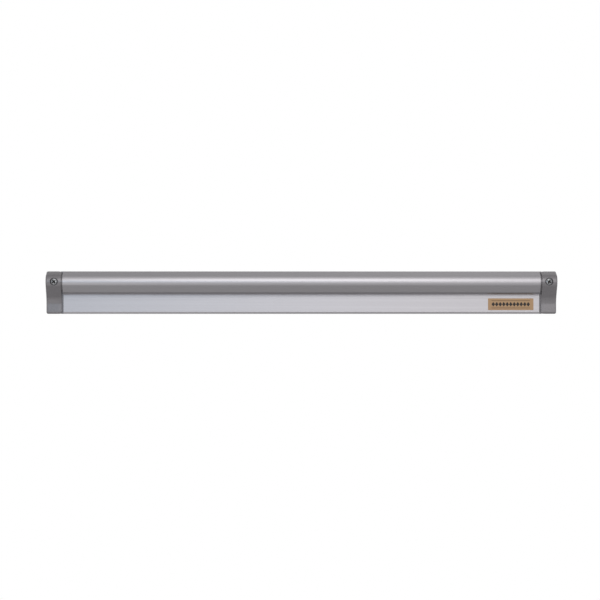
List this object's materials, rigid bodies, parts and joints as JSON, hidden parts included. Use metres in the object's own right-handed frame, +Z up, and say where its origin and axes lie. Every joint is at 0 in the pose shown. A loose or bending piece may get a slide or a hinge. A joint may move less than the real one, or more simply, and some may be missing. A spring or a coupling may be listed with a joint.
{
  "type": "order ticket rail",
  "caption": "Wall rail: a hooked aluminium extrusion with moulded end caps, whose loose glass balls wedge against the back plate and grip paper pushed up from below.",
  "frame": {"origin": "on the wall face, midway between the two wall screws", "axes": "+X along the rail, to the right as seen from the front; +Y into the wall; +Z up"},
  "size_m": [0.6096, 0.0475, 0.0508],
  "materials": {
    "anodised_aluminium": "satin anodised",
    "cap_plastic": "fine moulded texture",
    "screw_steel": "bright zinc plate",
    "gold_plate": "gold foil",
    "ball_glass": "polished"
  },
  "bodies": {
    "rail": {"rail_extrusion": "anodised_aluminium", "left_end_cap": "cap_plastic", "right_end_cap": "cap_plastic", "left_wall_screw": "screw_steel", "right_wall_screw": "screw_steel", "name_plate": "gold_plate"},
    "ball_01": {"grip_ball_01": "ball_glass"},
    "ball_02": {"grip_ball_02": "ball_glass"},
    "ball_03": {"grip_ball_03": "ball_glass"},
    "ball_04": {"grip_ball_04": "ball_glass"},
    "ball_05": {"grip_ball_05": "ball_glass"},
    "ball_06": {"grip_ball_06": "ball_glass"},
    "ball_07": {"grip_ball_07": "ball_glass"},
    "ball_08": {"grip_ball_08": "ball_glass"},
    "ball_09": {"grip_ball_09": "ball_glass"},
    "ball_10": {"grip_ball_10": "ball_glass"},
    "ball_11": {"grip_ball_11": "ball_glass"},
    "ball_12": {"grip_ball_12": "ball_glass"},
    "ball_13": {"grip_ball_13": "ball_glass"},
    "ball_14": {"grip_ball_14": "ball_glass"},
    "ball_15": {"grip_ball_15": "ball_glass"},
    "ball_16": {"grip_ball_16": "ball_glass"},
    "ball_17": {"grip_ball_17": "ball_glass"},
    "ball_18": {"grip_ball_18": "ball_glass"},
    "ball_19": {"grip_ball_19": "ball_glass"},
    "ball_20": {"grip_ball_20": "ball_glass"},
    "ball_21": {"grip_ball_21": "ball_glass"},
    "ball_22": {"grip_ball_22": "ball_glass"},
    "ball_23": {"grip_ball_23": "ball_glass"},
    "ball_24": {"grip_ball_24": "ball_glass"},
    "ball_25": {"grip_ball_25": "ball_glass"},
    "ball_26": {"grip_ball_26": "ball_glass"},
    "ball_27": {"grip_ball_27": "ball_glass"},
    "ball_28": {"grip_ball_28": "ball_glass"},
    "ball_29": {"grip_ball_29": "ball_glass"},
    "ball_30": {"grip_ball_30": "ball_glass"},
    "ball_31": {"grip_ball_31": "ball_glass"},
    "ball_32": {"grip_ball_32": "ball_glass"}
  },
  "joints": [
    {"name": "ball_01_lift", "type": "slide", "parent": "rail", "child": "ball_01", "axis": [0, -0.6157, 0.788], "range_m": [0, 0.0032]},
    {"name": "ball_02_lift", "type": "slide", "parent": "rail", "child": "ball_02", "axis": [0, -0.6157, 0.788], "range_m": [0, 0.0032]},
    {"name": "ball_03_lift", "type": "slide", "parent": "rail", "child": "ball_03", "axis": [0, -0.6157, 0.788], "range_m": [0, 0.0032]},
    {"name": "ball_04_lift", "type": "slide", "parent": "rail", "child": "ball_04", "axis": [0, -0.6157, 0.788], "range_m": [0, 0.0032]},
    {"name": "ball_05_lift", "type": "slide", "parent": "rail", "child": "ball_05", "axis": [0, -0.6157, 0.788], "range_m": [0, 0.0032]},
    {"name": "ball_06_lift", "type": "slide", "parent": "rail", "child": "ball_06", "axis": [0, -0.6157, 0.788], "range_m": [0, 0.0032]},
    {"name": "ball_07_lift", "type": "slide", "parent": "rail", "child": "ball_07", "axis": [0, -0.6157, 0.788], "range_m": [0, 0.0032]},
    {"name": "ball_08_lift", "type": "slide", "parent": "rail", "child": "ball_08", "axis": [0, -0.6157, 0.788], "range_m": [0, 0.0032]},
    {"name": "ball_09_lift", "type": "slide", "parent": "rail", "child": "ball_09", "axis": [0, -0.6157, 0.788], "range_m": [0, 0.0032]},
    {"name": "ball_10_lift", "type": "slide", "parent": "rail", "child": "ball_10", "axis": [0, -0.6157, 0.788], "range_m": [0, 0.0032]},
    {"name": "ball_11_lift", "type": "slide", "parent": "rail", "child": "ball_11", "axis": [0, -0.6157, 0.788], "range_m": [0, 0.0032]},
    {"name": "ball_12_lift", "type": "slide", "parent": "rail", "child": "ball_12", "axis": [0, -0.6157, 0.788], "range_m": [0, 0.0032]},
    {"name": "ball_13_lift", "type": "slide", "parent": "rail", "child": "ball_13", "axis": [0, -0.6157, 0.788], "range_m": [0, 0.0032]},
    {"name": "ball_14_lift", "type": "slide", "parent": "rail", "child": "ball_14", "axis": [0, -0.6157, 0.788], "range_m": [0, 0.0032]},
    {"name": "ball_15_lift", "type": "slide", "parent": "rail", "child": "ball_15", "axis": [0, -0.6157, 0.788], "range_m": [0, 0.0032]},
    {"name": "ball_16_lift", "type": "slide", "parent": "rail", "child": "ball_16", "axis": [0, -0.6157, 0.788], "range_m": [0, 0.0032]},
    {"name": "ball_17_lift", "type": "slide", "parent": "rail", "child": "ball_17", "axis": [0, -0.6157, 0.788], "range_m": [0, 0.0032]},
    {"name": "ball_18_lift", "type": "slide", "parent": "rail", "child": "ball_18", "axis": [0, -0.6157, 0.788], "range_m": [0, 0.0032]},
    {"name": "ball_19_lift", "type": "slide", "parent": "rail", "child": "ball_19", "axis": [0, -0.6157, 0.788], "range_m": [0, 0.0032]},
    {"name": "ball_20_lift", "type": "slide", "parent": "rail", "child": "ball_20", "axis": [0, -0.6157, 0.788], "range_m": [0, 0.0032]},
    {"name": "ball_21_lift", "type": "slide", "parent": "rail", "child": "ball_21", "axis": [0, -0.6157, 0.788], "range_m": [0, 0.0032]},
    {"name": "ball_22_lift", "type": "slide", "parent": "rail", "child": "ball_22", "axis": [0, -0.6157, 0.788], "range_m": [0, 0.0032]},
    {"name": "ball_23_lift", "type": "slide", "parent": "rail", "child": "ball_23", "axis": [0, -0.6157, 0.788], "range_m": [0, 0.0032]},
    {"name": "ball_24_lift", "type": "slide", "parent": "rail", "child": "ball_24", "axis": [0, -0.6157, 0.788], "range_m": [0, 0.0032]},
    {"name": "ball_25_lift", "type": "slide", "parent": "rail", "child": "ball_25", "axis": [0, -0.6157, 0.788], "range_m": [0, 0.0032]},
    {"name": "ball_26_lift", "type": "slide", "parent": "rail", "child": "ball_26", "axis": [0, -0.6157, 0.788], "range_m": [0, 0.0032]},
    {"name": "ball_27_lift", "type": "slide", "parent": "rail", "child": "ball_27", "axis": [0, -0.6157, 0.788], "range_m": [0, 0.0032]},
    {"name": "ball_28_lift", "type": "slide", "parent": "rail", "child": "ball_28", "axis": [0, -0.6157, 0.788], "range_m": [0, 0.0032]},
    {"name": "ball_29_lift", "type": "slide", "parent": "rail", "child": "ball_29", "axis": [0, -0.6157, 0.788], "range_m": [0, 0.0032]},
    {"name": "ball_30_lift", "type": "slide", "parent": "rail", "child": "ball_30", "axis": [0, -0.6157, 0.788], "range_m": [0, 0.0032]},
    {"name": "ball_31_lift", "type": "slide", "parent": "rail", "child": "ball_31", "axis": [0, -0.6157, 0.788], "range_m": [0, 0.0032]},
    {"name": "ball_32_lift", "type": "slide", "parent": "rail", "child": "ball_32", "axis": [0, -0.6157, 0.788], "range_m": [0, 0.0032]}
  ]
}
